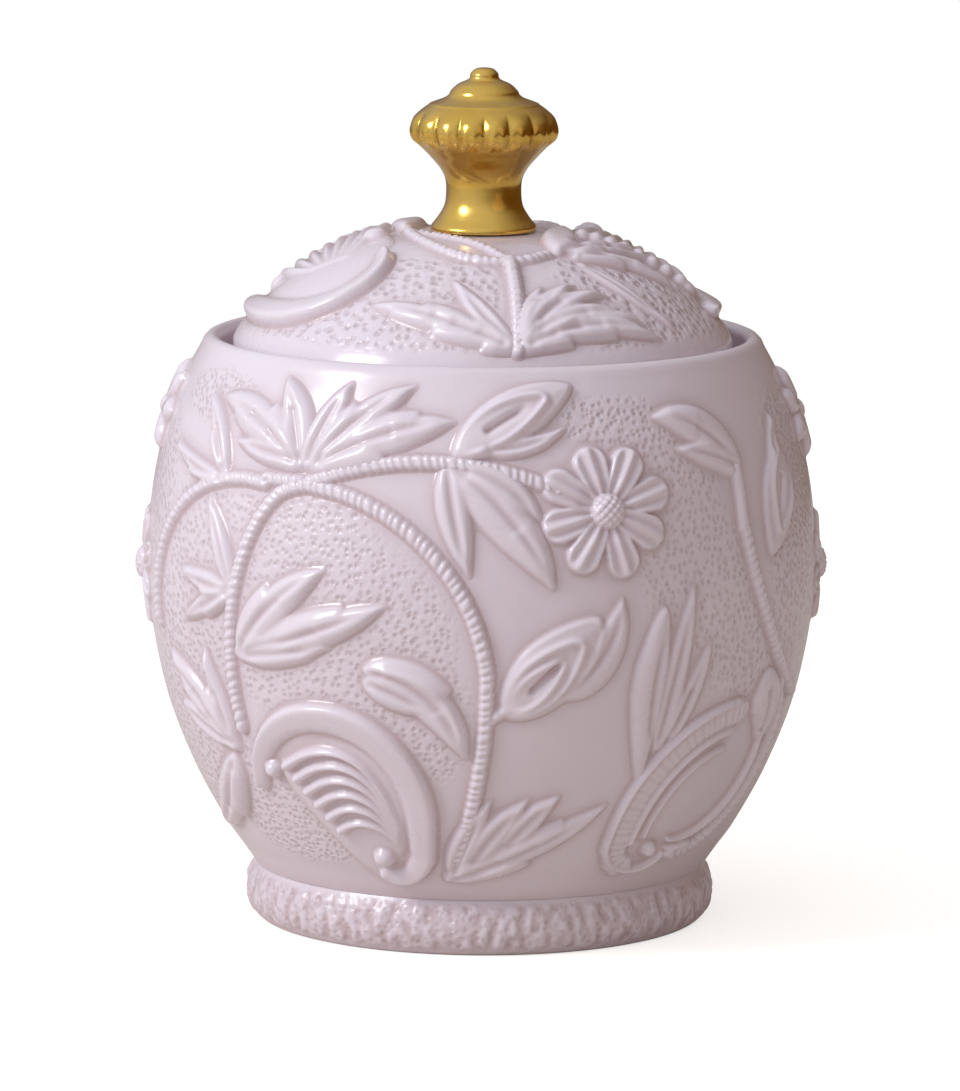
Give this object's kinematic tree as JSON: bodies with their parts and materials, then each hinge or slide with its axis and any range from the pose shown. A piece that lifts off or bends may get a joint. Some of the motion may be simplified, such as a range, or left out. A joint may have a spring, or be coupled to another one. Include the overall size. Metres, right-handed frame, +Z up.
{
  "type": "powder jar",
  "caption": "Round lidded porcelain powder jar with floral relief, a foot ring and a gilt knob; the domed lid lifts off a seat inside the lip.",
  "frame": {"origin": "on the table, at the centre of the foot ring", "axes": "+Z up through the knob; the front of the jar faces -Y"},
  "size_m": [0.1124, 0.1092, 0.1363],
  "materials": {
    "porcelain": "pale lilac-pink satin glaze, darker and pinker in the hollows",
    "porcelain_relief": "the same satin glaze, worn thinner and whiter on the raised relief",
    "gilding": "polished burnished gold over porcelain"
  },
  "bodies": {
    "jar": {"jar_body": "porcelain", "foot_ring": "porcelain", "vine_loop_front": "porcelain_relief", "vine_loop_back": "porcelain_relief", "vine_top_right_front": "porcelain_relief", "vine_top_right_back": "porcelain_relief", "vine_top_left_front": "porcelain_relief", "vine_top_left_back": "porcelain_relief", "vine_right_front": "porcelain_relief", "vine_right_back": "porcelain_relief", "scroll_left_front": "porcelain_relief", "scroll_left_back": "porcelain_relief", "scroll_right_front": "porcelain_relief", "scroll_right_back": "porcelain_relief", "leaf_top_centre_front": "porcelain_relief", "leaf_top_centre_back": "porcelain_relief", "leaf_top_mid_front": "porcelain_relief", "leaf_top_mid_back": "porcelain_relief", "leaf_hanging_front": "porcelain_relief", "leaf_hanging_back": "porcelain_relief", "leaf_inner_left_front": "porcelain_relief", "leaf_inner_left_back": "porcelain_relief", "leaf_inner_small_front": "porcelain_relief", "leaf_inner_small_back": "porcelain_relief", "leaf_bottom_front": "porcelain_relief", "leaf_bottom_back": "porcelain_relief", "leaf_left_pair_front": "porcelain_relief", "leaf_left_pair_back": "porcelain_relief", "leaf_left_low_front": "porcelain_relief", "leaf_left_low_back": "porcelain_relief", "leaf_right_spray_front": "porcelain_relief", "leaf_right_spray_back": "porcelain_relief", "leaf_right_top_front": "porcelain_relief", "leaf_right_top_back": "porcelain_relief", "leaf_side_cluster_front": "porcelain_relief", "leaf_side_cluster_back": "porcelain_relief", "bud_top_front": "porcelain_relief", "bud_top_back": "porcelain_relief", "bud_right_front": "porcelain_relief", "bud_right_back": "porcelain_relief", "bud_right_edge_front": "porcelain_relief", "bud_right_edge_back": "porcelain_relief", "daisy_front": "porcelain_relief", "daisy_back": "porcelain_relief", "daisy_side_front": "porcelain_relief", "daisy_side_back": "porcelain_relief"},
    "lid": {"lid_dome": "porcelain", "lid_flange": "porcelain", "knob": "gilding", "lid_vine_front": "porcelain_relief", "lid_vine_back": "porcelain_relief", "lid_scroll_front": "porcelain_relief", "lid_scroll_back": "porcelain_relief", "lid_leaf_left_front": "porcelain_relief", "lid_leaf_left_back": "porcelain_relief", "lid_leaf_right_front": "porcelain_relief", "lid_leaf_right_back": "porcelain_relief", "lid_bud_front": "porcelain_relief", "lid_bud_back": "porcelain_relief"}
  },
  "joints": [
    {"name": "lid_lift", "type": "slide", "parent": "jar", "child": "lid", "axis": [0, 0, 1], "range_m": [0, 0.1]}
  ]
}
